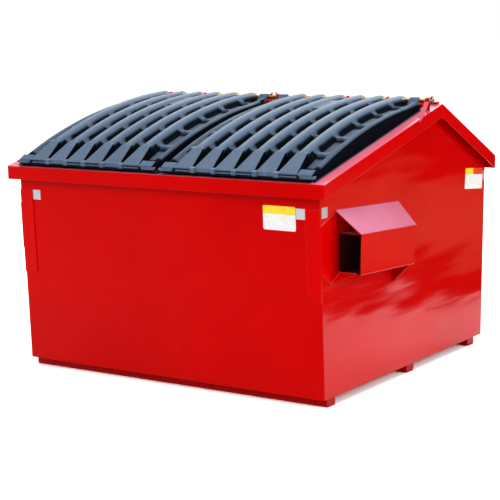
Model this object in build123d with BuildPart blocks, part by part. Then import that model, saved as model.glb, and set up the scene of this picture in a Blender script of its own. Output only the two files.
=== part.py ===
from build123d import *
import math
import os

# A peaked-top front-loading refuse container with two swinging lids.
# Millimetres, +Z up, the front towards -Y, the ground at Z zero, centred on X and Y.

os.makedirs("parts", exist_ok=True)

# Body
body_width = 1829.0
body_depth = 1740.0
front_height = 1071.0
rear_height = 1038.0
peak_height = 1361.0
peak_offset = 252.0
wall_lean = 30.0
wall_sheet = 3.0
floor_sheet = 4.0

# Top rails and roof
front_overhang = 38.0
rear_overhang = 26.0
side_overhang = 51.0
rail_sheet = 5.0
rail_drop = 68.0
rail_lap = 31.0
rail_corner = 4.0
ridge_size = 50.0
ridge_wall = 4.0
ridge_corner = 6.0
ridge_cap_sheet = 10.0
ridge_cap_width = 30.0
ridge_cap_overhang = 25.0
roof_sheet = 3.0

# Skids
skid_height = 44.0
skid_width = 76.0
skid_wall = 4.0
skid_cap_sheet = 4.0
skid_inset = 10.0
skid_corner = 12.0
front_skid_setback = 35.0
middle_skid_offset = 23.0
rear_skid_setback = 70.0

# Fork pockets
pocket_setback = 163.0
pocket_length = 527.0
pocket_drop = 441.0
pocket_height = 192.0
pocket_reach = 120.0
pocket_sheet = 6.0
pocket_roof_rise = 105.0
pocket_roof_sheet = 5.0
pocket_roof_overrun = 40.0
pocket_roof_lip = 10.0
pocket_lip_overrun = 5.0
pocket_bend = 5.0
pocket_tilt_share = 0.047
lead_in_reach = 71.0
lead_in_drop = 45.0
lead_in_width = 88.0
gusset_sheet = 6.0
gusset_width = 104.0
gusset_drop = 92.0
gusset_foot = 13.0

# Corner guards
guard_sheet = 6.0
guard_front_width = 80.0
guard_front_foot_drop = 559.0
guard_front_head_drop = 121.0
guard_side_foot_drop = 429.0
guard_side_head_drop = 196.0
guard_front_chamfer = 4.0
guard_bend = 4.0

# Lids
lid_gap = 24.0
lid_side_gap = 9.5
lid_front_gap = 20.0
lid_rear_gap = 26.0
lid_tail = 45.0
lid_lift = 0.3
lid_wall = 4.0
lid_flange_width = 14.0
lid_flange_sheet = 4.0
lid_crest = 115.0
lid_crest_place_share = 0.502
lid_crest_radius_share = 2.54
lid_rib_height = 46.0
lid_rib_width_share = 0.79
lid_rib_pitch_share = 0.1333
lid_rib_count = 6
lid_rim_height = 10.0
lid_rim_width = 30.0
lid_ramp_place = 185.0
lid_lip_height = 37.0
lid_pad_start_share = 0.726
lid_pad_length_share = 0.193
lid_pad_depth = 14.0
web_sheet = 5.0
web_depth = 20.0
web_first_share = 0.1954
web_pitch_share = 0.1667
web_count = 5

# Lid hinges
axis_setback = 80.0
axis_above = 44.0
rod_diameter = 16.0
rod_clearance = 0.1
rod_passage = 3.0
rod_end_gap = 10.0
rod_chamfer = 1.0
rod_washer_room = 14.0
knuckle_radius = 14.0
knuckle_length = 50.0
knuckle_inset = 51.0
knuckle_root = 10.0
lid_notch_width = 26.0
lid_notch_length = 90.0
lug_sheet = 8.0
lug_radius = 14.0
lug_spread = 52.0
lug_heel = 4.0
lug_arm_clearance = 8.0
bracket_width = 26.0
bracket_sheet = 7.0
bracket_eye_radius = 14.0
bracket_inset = 3.0
bracket_lap = 13.0
bracket_lap_sheet = 6.0
bracket_front_reach = 172.0
bracket_rear_reach = 16.0
washer_radius = 17.0
washer_sheet = 3.0
cotter_wire = 2.5
cotter_length = 28.0
cotter_eye_radius = 6.0
cotter_eye_hole = 3.0
cotter_eye_sheet = 2.0
hardware_gap = 0.3

# Tapes and plates
tape_width = 50.0
tape_height = 50.0
sticker_sheet = 0.6
tape_front_drop = 122.0
tape_inset = 27.0
tape_corner = 1.0
tape_side_place = 41.0
tape_side_rise = 32.0
rear_tape_width = 20.0
rear_tape_place = 16.0
rear_tape_drop = 131.0
front_label_width = 180.0
front_label_height = 115.0
front_label_inset = 224.5
front_label_drop = 116.0
side_label_width = 212.0
side_label_height = 112.0
side_label_place = 737.0
side_label_drop = 166.0
side_label_turn = 5.0
label_corner = 8.0

overrun = 50.0

# The roofline and the walls, worked out from the sizes above
half_width = body_width / 2
depth_shift = (front_overhang - rear_overhang) / 2
front_top = -body_depth / 2 + depth_shift
rear_top = body_depth / 2 + depth_shift
front_edge = front_top - front_overhang
rear_edge = rear_top + rear_overhang
peak_place = peak_offset + depth_shift
side_edge = half_width + side_overhang
rail_inner = half_width - rail_lap
front_slope = math.atan2(peak_height - front_height, peak_place - front_edge)
rear_slope = math.atan2(peak_height - rear_height, rear_edge - peak_place)
front_rail_drop = rail_sheet / math.cos(front_slope)
rear_rail_drop = rail_sheet / math.cos(rear_slope)
roof_drop = roof_sheet / math.cos(rear_slope)
wall_rise = front_height - skid_height
lean_angle = math.atan2(wall_lean, wall_rise)
slope_cos = math.cos(front_slope)
slope_sin = math.sin(front_slope)


def front_line(y):
    return front_height + (y - front_edge) * math.tan(front_slope)


def rear_line(y):
    return rear_height + (rear_edge - y) * math.tan(rear_slope)


def front_face(z):
    return front_top + wall_lean * (front_height - z) / wall_rise


def rear_face(z):
    return rear_top - wall_lean * (front_height - z) / wall_rise


def slope_point(along, above):
    """A point at a distance up the front slope from its front edge, and above it, as Y and Z."""
    y = front_edge + along * slope_cos - above * slope_sin
    z = front_height + along * slope_sin + above * slope_cos
    return (y, z)


def save(part, name):
    part.label = name
    export_step(part, f"parts/{name}.step")


def slab(points, low, high):
    """A plate between two X places, outlined in the YZ plane."""
    with BuildPart() as plate:
        with BuildSketch(Plane.YZ.offset(low)):
            Polygon(*points, align=None)
        extrude(amount=high - low)
    return plate.part


def both_sides(builder, name):
    """Write a right-hand piece and its mirror image."""
    save(builder, f"right_{name}")
    save(mirror(builder, about=Plane.YZ), f"left_{name}")


# Floor
floor_front = front_face(skid_height) + wall_sheet
floor_rear = rear_face(skid_height) - wall_sheet
with BuildPart() as floor_pan:
    with BuildSketch(Plane.XY.offset(skid_height)):
        with Locations((0, (floor_front + floor_rear) / 2)):
            Rectangle(body_width - 2 * wall_sheet, floor_rear - floor_front)
    extrude(amount=floor_sheet)
save(floor_pan.part, "floor_pan")

# Front and rear walls, leaning in towards the floor
front_wall_top = front_height - front_rail_drop
rear_flange_top = rear_height - roof_drop
rear_wall_top = rear_flange_top - rail_sheet


def end_wall(foot, head, top, thickness):
    points = [(foot, skid_height), (head, top), (head + thickness, top), (foot + thickness, skid_height)]
    return slab(points, -half_width + wall_sheet, half_width - wall_sheet)


front_wall = end_wall(front_face(skid_height), front_face(front_wall_top), front_wall_top, wall_sheet)
save(front_wall, "front_wall")
rear_wall = end_wall(rear_face(skid_height), rear_face(rear_wall_top), rear_wall_top, -wall_sheet)
save(rear_wall, "rear_wall")

# Side walls, with their peaked tops under the gable rails
side_points = [
    (front_face(skid_height), skid_height),
    (front_face(front_wall_top), front_line(front_top) - front_rail_drop),
    (peak_place, peak_height - rear_rail_drop),
    (rear_face(rear_wall_top), rear_line(rear_face(rear_wall_top)) - rear_rail_drop),
    (rear_face(skid_height), skid_height),
]
side_wall = slab(side_points, half_width - wall_sheet, half_width)
both_sides(side_wall, "wall")


# Gable rails: a flange on the wall's top edge and a fascia outside it
def gable_rail(start, end, flange_drop, end_index):
    (start_y, start_z), (end_y, end_z) = start, end
    flange = [start, end, (end_y, end_z - flange_drop), (start_y, start_z - flange_drop)]
    fascia = [start, end, (end_y, end_z - rail_drop), (start_y, start_z - rail_drop)]
    with BuildPart() as rail:
        with BuildSketch(Plane.YZ.offset(rail_inner)):
            Polygon(*flange, align=None)
        extrude(amount=side_edge - rail_inner)
        with BuildSketch(Plane.YZ.offset(side_edge - rail_sheet)):
            Polygon(*fascia, align=None)
        extrude(amount=rail_sheet)
        end_edges = rail.edges().filter_by(Axis.Z).group_by(Axis.X)[-1]
        fillet(end_edges.sort_by(Axis.Y)[end_index], rail_corner)
    return rail.part


front_corner = (front_edge, front_height)
rear_corner = (rear_edge, rear_height)
peak = (peak_place, peak_height)
both_sides(gable_rail(front_corner, peak, front_rail_drop, 0), "front_gable_rail")
both_sides(gable_rail(peak, rear_corner, rear_rail_drop, -1), "rear_gable_rail")


# Front and rear sills
def sill(edge, inward, flange_top, flange_drop, fascia_top, fascia_low):
    flange_depth = front_overhang + rail_lap
    with BuildPart() as rail:
        with BuildSketch(Plane.YZ):
            with Locations((edge + inward * rail_sheet / 2, (fascia_top + fascia_low) / 2)):
                Rectangle(rail_sheet, fascia_top - fascia_low)
        extrude(amount=side_edge - rail_sheet, both=True)
        with BuildSketch(Plane.YZ):
            with Locations((edge + inward * flange_depth / 2, flange_top - flange_drop / 2)):
                Rectangle(flange_depth, flange_drop)
        extrude(amount=rail_inner, both=True)
    return rail.part


front_sill = sill(front_edge, 1, front_height, front_rail_drop, front_wall_top, front_height - rail_drop)
save(front_sill, "front_sill")
rear_sill = sill(rear_edge, -1, rear_flange_top, rail_sheet, rear_wall_top, rear_height - rail_drop)
save(rear_sill, "rear_sill")

# Ridge tube, notched at its ends under the gable rails, and the fixed rear roof
ridge_front = peak_place - ridge_size / 2
ridge_rear = peak_place + ridge_size / 2
ridge_notch = rear_rail_drop + ridge_size / 2 * math.tan(rear_slope)
with BuildPart() as ridge_beam:
    with BuildSketch(Plane.YZ):
        with Locations((peak_place, peak_height - ridge_size / 2)):
            RectangleRounded(ridge_size, ridge_size, ridge_corner)
            Rectangle(ridge_size - 2 * ridge_wall, ridge_size - 2 * ridge_wall, mode=Mode.SUBTRACT)
    extrude(amount=half_width - wall_sheet, both=True)
    for side in (-1, 1):
        with BuildSketch(Plane.YZ.offset(side * rail_inner)):
            with Locations((peak_place, peak_height)):
                Rectangle(ridge_size + overrun, 2 * ridge_notch)
        extrude(amount=side * overrun, mode=Mode.SUBTRACT)
save(ridge_beam.part, "ridge_beam")

with BuildPart() as ridge_cap:
    with BuildSketch(Plane.YZ):
        with Locations((peak_place, peak_height + ridge_cap_sheet / 2)):
            Rectangle(ridge_cap_width, ridge_cap_sheet)
    extrude(amount=half_width + ridge_cap_overhang, both=True)
save(ridge_cap.part, "ridge_cap")

roof_points = [
    (ridge_rear, rear_line(ridge_rear)),
    (rear_edge, rear_height),
    (rear_edge, rear_flange_top),
    (ridge_rear, rear_line(ridge_rear) - roof_drop),
]
save(slab(roof_points, -rail_inner, rail_inner), "rear_roof")

# Skids: closed tubes across the floor, with a cap in each end
skid_end = half_width - skid_inset
skid_places = {
    "front": front_face(skid_height) + front_skid_setback + skid_width / 2,
    "middle": depth_shift + middle_skid_offset,
    "rear": rear_face(skid_height) - rear_skid_setback - skid_width / 2,
}
for skid_name, skid_place in skid_places.items():
    with BuildPart() as skid:
        with BuildSketch(Plane.YZ):
            with Locations((skid_place, skid_height / 2)):
                RectangleRounded(skid_width, skid_height, skid_corner)
                RectangleRounded(skid_width - 2 * skid_wall, skid_height - 2 * skid_wall,
                                 skid_corner - skid_wall, mode=Mode.SUBTRACT)
        extrude(amount=skid_end - skid_cap_sheet, both=True)
    save(skid.part, f"{skid_name}_skid")

with BuildPart() as skid_end_caps:
    for side in (-1, 1):
        for skid_place in skid_places.values():
            with BuildSketch(Plane.YZ.offset(side * (skid_end - skid_cap_sheet))):
                with Locations((skid_place, skid_height / 2)):
                    RectangleRounded(skid_width, skid_height, skid_corner)
            extrude(amount=side * skid_cap_sheet)
save(skid_end_caps.part, "skid_end_caps")

# Fork pockets: a bent sleeve, a sloped roof over it, a lead-in and a rear gusset
pocket_front = front_top + pocket_setback
pocket_rear = pocket_front + pocket_length
pocket_bottom = front_height - pocket_drop
pocket_top = pocket_bottom + pocket_height
pocket_edge = half_width + pocket_reach
pocket_slope = math.atan2(pocket_roof_rise, pocket_reach)
pocket_tilt = math.degrees(math.atan(pocket_tilt_share))
pocket_pivot = Axis((0, pocket_front, pocket_bottom), (-1, 0, 0))


def tilted(part):
    """A piece of the fork pocket, turned with it about its mouth so that its rear hangs lower."""
    return part.rotate(pocket_pivot, pocket_tilt)


with BuildPart() as fork_pocket:
    with BuildSketch(Plane.XZ.offset(-pocket_rear)):
        Polygon(
            (half_width, pocket_bottom),
            (pocket_edge, pocket_bottom),
            (pocket_edge, pocket_top),
            (half_width, pocket_top),
            (half_width, pocket_top - pocket_sheet),
            (pocket_edge - pocket_sheet, pocket_top - pocket_sheet),
            (pocket_edge - pocket_sheet, pocket_bottom + pocket_sheet),
            (half_width, pocket_bottom + pocket_sheet),
            align=None,
        )
    extrude(amount=pocket_length)
    fillet(fork_pocket.edges().filter_by(Axis.Y).group_by(Axis.X)[-1], pocket_bend)
both_sides(tilted(fork_pocket.part), "fork_pocket")

roof_sheet_drop = pocket_roof_sheet / math.cos(pocket_slope)
lip_start = pocket_edge + (roof_sheet_drop - pocket_roof_sheet) / math.tan(pocket_slope)
lip_end = pocket_edge + pocket_roof_lip
with BuildPart() as pocket_roof:
    with BuildSketch(Plane.XZ.offset(-pocket_rear - pocket_roof_overrun)):
        Polygon(
            (half_width, pocket_top + pocket_roof_rise),
            (pocket_edge, pocket_top),
            (lip_end, pocket_top),
            (lip_end, pocket_top + pocket_roof_sheet),
            (lip_start, pocket_top + pocket_roof_sheet),
            (half_width, pocket_top + pocket_roof_rise + roof_sheet_drop),
            align=None,
        )
    extrude(amount=pocket_length + 2 * pocket_roof_overrun)
    with BuildSketch(Plane.XY.offset(pocket_top - overrun)):
        Polygon(
            (half_width, pocket_front - pocket_roof_overrun),
            (lip_end, pocket_front - pocket_lip_overrun),
            (lip_end, pocket_rear + pocket_lip_overrun),
            (half_width, pocket_rear + pocket_roof_overrun),
            align=None,
        )
    extrude(amount=pocket_height + overrun, mode=Mode.INTERSECT)
both_sides(tilted(pocket_roof.part), "pocket_roof")

lead_in_length = math.hypot(lead_in_reach, lead_in_drop)
lead_in_plane = Plane(
    origin=(half_width + guard_sheet, pocket_front, pocket_bottom + pocket_sheet),
    x_dir=(1, 0, 0),
    z_dir=(0, lead_in_drop, -lead_in_reach),
)
with BuildPart() as pocket_lead_in:
    with BuildSketch(lead_in_plane):
        Polygon((0, 0), (lead_in_width, 0), (0, lead_in_length), align=None)
    extrude(amount=pocket_sheet)
    split(bisect_by=Plane.XZ.offset(-pocket_front), keep=Keep.TOP)
both_sides(tilted(pocket_lead_in.part), "pocket_lead_in")

with BuildPart() as pocket_gusset:
    with BuildSketch(Plane.XZ.offset(-pocket_rear)):
        Polygon(
            (half_width, pocket_bottom),
            (half_width + gusset_width, pocket_bottom),
            (half_width + gusset_foot, pocket_bottom - gusset_drop),
            (half_width, pocket_bottom - gusset_drop),
            align=None,
        )
    extrude(amount=gusset_sheet)
both_sides(tilted(pocket_gusset.part), "pocket_gusset")

# Corner guards: a plate on the leaning front wall, bent round the corner to the fork pocket
front_plane = Plane(
    origin=(0, front_top, front_height),
    x_dir=(1, 0, 0),
    z_dir=(0, -math.cos(lean_angle), -math.sin(lean_angle)),
)


def up_front(z):
    """The distance up the front plane of a height, from the top of the wall."""
    return (z - front_height) / math.cos(lean_angle)


guard_front_low = front_height - guard_front_foot_drop
guard_front_high = front_height - guard_front_head_drop
guard_side_low = front_height - guard_side_foot_drop
guard_side_high = front_height - guard_side_head_drop
guard_step = guard_sheet / math.cos(lean_angle)
guard_roof_line = pocket_top + pocket_roof_rise - guard_sheet * math.tan(pocket_slope)
with BuildPart() as corner_guard:
    with BuildSketch(front_plane):
        Polygon(
            (half_width, up_front(guard_front_low)),
            (half_width, up_front(guard_front_high)),
            (half_width - guard_front_width, up_front(guard_front_high - guard_front_chamfer)),
            (half_width - guard_front_width, up_front(guard_front_low + guard_front_chamfer)),
            align=None,
        )
    extrude(amount=guard_sheet)
    with BuildSketch(Plane.YZ.offset(half_width)):
        Polygon(
            (front_face(guard_side_low) - guard_step, guard_side_low),
            (front_face(guard_side_high) - guard_step, guard_side_high),
            (pocket_front - pocket_roof_overrun, guard_roof_line),
            (pocket_front, guard_roof_line),
            (pocket_front, pocket_bottom),
            (pocket_front - lead_in_reach, pocket_bottom - lead_in_drop),
            align=None,
        )
    extrude(amount=guard_sheet)
    guard_middle = (guard_side_low + guard_side_high) / 2
    guard_corner = (half_width + guard_sheet, front_face(guard_middle) - guard_step, guard_middle)
    fillet(corner_guard.edges().sort_by_distance(guard_corner)[0], guard_bend)
both_sides(corner_guard.part, "corner_guard")

# Lids: a domed, ribbed shell on a flat rim, drawn along the front slope
slope_length = math.hypot(peak_place - front_edge, peak_height - front_height)
axis_along = slope_length - axis_setback
axis_y, axis_height = slope_point(axis_along, axis_above)
lid_width = half_width - lid_gap / 2 - lid_side_gap
lid_rib_pitch = lid_width * lid_rib_pitch_share
lid_rib_width = lid_rib_pitch * lid_rib_width_share
lid_crest_place = axis_along * lid_crest_place_share
lid_crest_radius = axis_along * lid_crest_radius_share
lid_pad_start = axis_along * lid_pad_start_share
lid_pad_length = axis_along * lid_pad_length_share
web_first = axis_along * web_first_share
web_pitch = axis_along * web_pitch_share
lid_front = lid_front_gap
lid_rear = axis_along + lid_tail
side_rear = axis_along - lid_rear_gap
lid_centre = lid_gap / 2 + lid_width / 2
skirt_half = lid_width / 2 - lid_flange_width
dome_y, dome_z = slope_point(lid_crest_place, lid_crest - lid_crest_radius)
dome_reach = math.asin((lid_rear - lid_crest_place + overrun) / lid_crest_radius)
dome_axis = Axis((0, dome_y, dome_z), (-1, 0, 0))


def dome_plane(angle):
    """The plane across the lid through the dome's axis, turned towards the hinge by an angle."""
    turn = front_slope - angle
    return Plane(
        origin=(lid_centre, dome_y, dome_z),
        x_dir=(1, 0, 0),
        z_dir=(0, -math.cos(turn), -math.sin(turn)),
    )


def dome_height(along):
    """The height of the rib crests above the slope."""
    fall = lid_crest_radius - math.sqrt(lid_crest_radius**2 - (along - lid_crest_place) ** 2)
    return lid_crest - fall


rib_places = [(index - (lid_rib_count - 1) / 2) * lid_rib_pitch for index in range(lid_rib_count)]
ramp_rise = dome_height(lid_ramp_place) - lid_lip_height
ramp_run = lid_ramp_place - lid_front
ramp_length = math.hypot(ramp_rise, ramp_run)


def lid_form(inset):
    """The lid as a full block, drawn in all round by an inset."""
    crest = lid_crest_radius - inset
    valley = lid_crest_radius - lid_rib_height - inset
    rim = valley + lid_rim_height
    half_rib = lid_rib_width / 2 - inset
    edge = skirt_half - inset
    rim_edge = skirt_half - lid_rim_width + inset
    base = lid_crest_radius - lid_crest - lid_crest
    under = overrun if inset else 0
    with BuildPart() as form:
        with BuildSketch(dome_plane(-dome_reach)):
            with BuildLine():
                here = (-rim_edge, valley)
                Polyline((-edge, base), (-edge, rim), (-rim_edge, rim), here)
                for place in rib_places:
                    Line(here, (place - half_rib, valley))
                    here = (place + half_rib, valley)
                    ThreePointArc((place - half_rib, valley), (place, crest), here)
                Polyline(here, (rim_edge, valley), (rim_edge, rim), (edge, rim), (edge, base))
                Line((edge, base), (-edge, base))
            make_face()
        revolve(axis=dome_axis, revolution_arc=math.degrees(2 * dome_reach))
        ramp_back = inset * ramp_length / ramp_rise
        top = lid_crest + lid_rib_height
        ramp_end = lid_front + ramp_back + (top - lid_lip_height) * ramp_run / ramp_rise
        lip_front = lid_front + inset
        lip_top = lid_lip_height - (ramp_back - inset) * ramp_rise / ramp_run
        with BuildSketch(Plane.YZ.offset(lid_centre - lid_width / 2)):
            Polygon(
                slope_point(lip_front, lid_lift - under),
                slope_point(lip_front, lip_top),
                slope_point(ramp_end, top),
                slope_point(lid_rear - inset, top),
                slope_point(lid_rear - inset, lid_lift - under),
                align=None,
            )
        extrude(amount=lid_width, mode=Mode.INTERSECT)
    return form.part


web_turns = [math.asin((web_first + index * web_pitch - lid_crest_place) / lid_crest_radius)
             for index in range(web_count)]
pad_turn = math.asin((lid_pad_start - lid_crest_place) / lid_crest_radius)
pad_half = lid_rib_pitch / 2
pad_top = lid_crest_radius - lid_pad_depth
valley_radius = lid_crest_radius - lid_rib_height
knuckle_reach = lid_width / 2 - knuckle_inset
lug_places = {
    "centre": lug_spread / 2,
    "middle": lid_centre,
    "outer": lid_centre + 2 * lid_rib_pitch,
}


def dome_block(turn, half, low, high, length):
    """A straight block across the dome, between two radii, running up the slope."""
    with BuildPart() as block:
        with BuildSketch(dome_plane(turn)):
            with Locations((0, (low + high) / 2)):
                Rectangle(2 * half, high - low)
        extrude(amount=-length)
    return block.part


web_half = skirt_half - lid_wall
valley_under = valley_radius - lid_wall
web_top = valley_radius + web_depth
rib_zone_half = lid_rib_count * lid_rib_pitch / 2
knuckle_seat = dome_height(side_rear) - lid_rib_height + lid_rim_height
with BuildPart() as lid:
    add(lid_form(0))
    for web_turn in web_turns:
        add(dome_block(web_turn, web_half, valley_under, web_top, web_sheet))
    add(dome_block(pad_turn, pad_half, valley_under, pad_top, lid_pad_length))
    add(lid_form(lid_wall), mode=Mode.SUBTRACT)
    for side in (-1, 1):
        with BuildSketch(Plane.YZ.offset(lid_centre + side * (skirt_half - lid_wall))):
            Polygon(
                slope_point(lid_front, lid_lift),
                slope_point(side_rear, lid_lift),
                slope_point(side_rear, lid_lift + lid_flange_sheet),
                slope_point(lid_front, lid_lift + lid_flange_sheet),
                align=None,
            )
        extrude(amount=side * (lid_flange_width + lid_wall))
        with BuildSketch(Plane.YZ.offset(lid_centre + side * rib_zone_half)):
            Polygon(
                slope_point(side_rear, 0),
                slope_point(lid_rear + overrun, 0),
                slope_point(lid_rear + overrun, lid_crest),
                slope_point(side_rear, lid_crest),
                align=None,
            )
        extrude(amount=side * lid_width, mode=Mode.SUBTRACT)
    with BuildSketch(Plane.YZ):
        Polygon(
            slope_point(axis_along - lid_notch_length, 0),
            slope_point(axis_along, 0),
            slope_point(axis_along, lid_crest),
            slope_point(axis_along - lid_notch_length, lid_crest),
            align=None,
        )
    extrude(amount=lid_gap / 2 + lid_notch_width, mode=Mode.SUBTRACT)
    with BuildSketch(Plane.YZ):
        with Locations((axis_y, axis_height)):
            Circle(rod_diameter / 2 + rod_passage)
    extrude(amount=body_width, mode=Mode.SUBTRACT)


def hinged_lid(knuckle_places):
    """The lid with a hinge knuckle on an arm at each of the given places on its margins."""
    with BuildPart() as hinged:
        add(lid.part)
        for knuckle_place in knuckle_places:
            with BuildSketch(Plane.YZ.offset(knuckle_place)):
                Polygon(
                    slope_point(side_rear - knuckle_root, knuckle_seat - knuckle_radius),
                    slope_point(axis_along, axis_above - knuckle_radius),
                    slope_point(axis_along, axis_above + knuckle_radius),
                    slope_point(side_rear - knuckle_root, knuckle_seat),
                    align=None,
                )
                with Locations((axis_y, axis_height)):
                    Circle(knuckle_radius)
                    Circle(rod_diameter / 2 + rod_clearance, mode=Mode.SUBTRACT)
            extrude(amount=knuckle_length / 2, both=True)
    return hinged.part


inner_knuckle = lid_centre - knuckle_reach
outer_knuckle = lid_centre + knuckle_reach
save(hinged_lid([inner_knuckle, outer_knuckle]), "right_lid")
save(mirror(hinged_lid([inner_knuckle]), about=Plane.YZ), "left_lid")

# Hinge rods, one for each lid, with their lugs, end brackets, washers and cotter pins
bore_radius = rod_diameter / 2 + rod_clearance
bracket_start = half_width + bracket_inset
bracket_end = bracket_start + bracket_width
rod_start = rod_end_gap / 2
inner_washer = lug_spread / 2 - lug_sheet / 2 - hardware_gap - washer_sheet
right_washer = bracket_end + hardware_gap
inner_cotter = inner_washer - rod_washer_room / 2
right_cotter = right_washer + washer_sheet + rod_washer_room / 2
cotter_hole = cotter_wire / 2 + hardware_gap


def hinge_rod(side, rod_end, cotter_places):
    """A rod from beside the middle to its outer end, with its cotter pins' holes."""
    with BuildPart() as rod:
        with BuildSketch(Plane.YZ.offset(side * rod_start)):
            with Locations((axis_y, axis_height)):
                Circle(rod_diameter / 2)
        extrude(amount=side * (rod_end - rod_start))
        chamfer(rod.edges().filter_by(GeomType.CIRCLE), rod_chamfer)
        for cotter_place in cotter_places:
            with BuildSketch(Plane.XY.offset(axis_height)):
                with Locations((side * cotter_place, axis_y)):
                    Circle(cotter_hole)
            extrude(amount=rod_diameter, both=True, mode=Mode.SUBTRACT)
    return rod.part


left_rod_end = lug_places["outer"] + lid_rib_pitch / 2
right_rod_end = right_cotter + rod_washer_room / 2
save(hinge_rod(-1, left_rod_end, [inner_cotter]), "left_hinge_rod")
save(hinge_rod(1, right_rod_end, [inner_cotter, right_cotter]), "right_hinge_rod")


def hinge_lug(place):
    """A plate that stands on the ridge and holds the hinge rod in front of it."""
    cap_top = peak_height + ridge_cap_sheet - axis_height
    tube_top = peak_height - axis_height
    heel = peak_place + ridge_cap_width / 2 - lug_heel - axis_y
    toe = ridge_front + ridge_corner - axis_y
    with BuildPart() as lug:
        with BuildSketch(Plane.YZ.offset(place)):
            with Locations((axis_y, axis_height)):
                Polygon(
                    (0, -lug_radius),
                    (lid_tail + lug_arm_clearance, -lug_radius),
                    (toe, tube_top),
                    (heel, tube_top),
                    (heel, cap_top + lug_heel),
                    (toe, cap_top + lug_heel),
                    (0, lug_radius),
                    align=None,
                )
                Circle(lug_radius)
                Circle(bore_radius, mode=Mode.SUBTRACT)
        extrude(amount=lug_sheet / 2, both=True)
        with BuildSketch(Plane.YZ.offset(place)):
            with Locations((peak_place, peak_height + ridge_cap_sheet / 2)):
                Rectangle(ridge_cap_width, ridge_cap_sheet)
            with Locations((peak_place, peak_height - ridge_size / 2)):
                RectangleRounded(ridge_size, ridge_size, ridge_corner)
        extrude(amount=lug_sheet, both=True, mode=Mode.SUBTRACT)
    return lug.part


for lug_name, lug_place in lug_places.items():
    both_sides(hinge_lug(lug_place), f"{lug_name}_hinge_lug")

rail_under_axis = front_line(axis_y) - axis_height
front_foot = rail_under_axis - bracket_front_reach * math.tan(front_slope) - bracket_lap
rear_foot = rail_under_axis - bracket_rear_reach * math.tan(front_slope) - bracket_lap


def bracket_leg(reach, foot):
    """The outline of a leg from the bracket's eye down past the rail, about the axis."""
    length = math.hypot(reach, foot)
    across_y = bracket_sheet / 2 * foot / length
    across_z = bracket_sheet / 2 * reach / length
    return [
        (-across_y, across_z),
        (across_y, -across_z),
        (across_y - reach, foot - across_z),
        (-across_y - reach, foot + across_z),
    ]


# The bracket's front leg splays out to lap over the rail's outer face
foot_y = axis_y - bracket_front_reach - bracket_eye_radius
lap_edge = side_edge + bracket_lap_sheet
splay_y = axis_y - washer_radius - hardware_gap
lap_reach = bracket_front_reach * rail_under_axis / (rail_under_axis - bracket_lap)
lap_y = axis_y - lap_reach
with BuildPart() as right_hinge_bracket:
    with BuildSketch(Plane.YZ.offset(half_width)):
        with Locations((axis_y, axis_height)):
            Polygon(*bracket_leg(bracket_front_reach, front_foot), align=None)
    extrude(amount=overrun + side_overhang)
    with BuildSketch(Plane.XY.offset(front_height)):
        Polygon(
            (bracket_start, axis_y + bracket_eye_radius),
            (bracket_end, axis_y + bracket_eye_radius),
            (bracket_end, splay_y),
            (lap_edge, lap_y),
            (lap_edge, foot_y),
            (lap_edge - bracket_width, foot_y),
            (lap_edge - bracket_width, lap_y),
            (bracket_start, splay_y),
            align=None,
        )
    extrude(amount=axis_height, mode=Mode.INTERSECT)
    with BuildSketch(Plane.YZ.offset(bracket_start)):
        with Locations((axis_y, axis_height)):
            Polygon(*bracket_leg(bracket_rear_reach, rear_foot), align=None)
            Circle(bracket_eye_radius)
    extrude(amount=bracket_width)
    with BuildSketch(Plane.YZ.offset(half_width)):
        Polygon(
            front_corner,
            peak,
            (peak_place, peak_height - overrun),
            (front_edge, front_height - overrun),
            align=None,
        )
    extrude(amount=side_overhang, mode=Mode.SUBTRACT)
    with BuildSketch(Plane.YZ.offset(half_width)):
        with Locations((axis_y, axis_height)):
            Circle(bore_radius)
    extrude(amount=overrun + side_overhang, mode=Mode.SUBTRACT)
save(right_hinge_bracket.part, "right_hinge_bracket")

washer_places = [-inner_washer, inner_washer, right_washer]
with BuildPart() as hinge_washers:
    for washer_place in washer_places:
        with BuildSketch(Plane.YZ.offset(washer_place)):
            with Locations((axis_y, axis_height)):
                Circle(washer_radius)
                Circle(bore_radius, mode=Mode.SUBTRACT)
        extrude(amount=math.copysign(washer_sheet, washer_place))
save(hinge_washers.part, "hinge_washers")

cotter_foot = axis_height - cotter_length / 2
cotter_top = axis_height + cotter_length / 2
with BuildPart() as cotter_pins:
    for pin_place in (-inner_cotter, inner_cotter, right_cotter):
        with BuildSketch(Plane.XY.offset(cotter_foot)):
            with Locations((pin_place, axis_y)):
                Circle(cotter_wire / 2)
        extrude(amount=cotter_length)
        with BuildSketch(Plane.XZ.offset(-axis_y)):
            with Locations((pin_place, cotter_top + cotter_eye_hole)):
                Circle(cotter_eye_radius)
                Circle(cotter_eye_hole, mode=Mode.SUBTRACT)
        extrude(amount=cotter_eye_sheet / 2, both=True)
save(cotter_pins.part, "cotter_pins")


# Reflective tapes and bare plates on the walls
def front_sticker(place, top, width, height, corner):
    with BuildPart() as sticker:
        with BuildSketch(front_plane):
            with Locations((place, -(top + height / 2) / math.cos(lean_angle))):
                RectangleRounded(width, height, corner)
        extrude(amount=sticker_sheet)
    return sticker.part


def side_sticker(place, low, width, height, corner, turn=0):
    with BuildPart() as sticker:
        with BuildSketch(Plane.YZ.offset(half_width)):
            with Locations((place, low + height / 2)):
                RectangleRounded(width, height, corner, rotation=-turn)
        extrude(amount=sticker_sheet)
    return sticker.part


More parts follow.
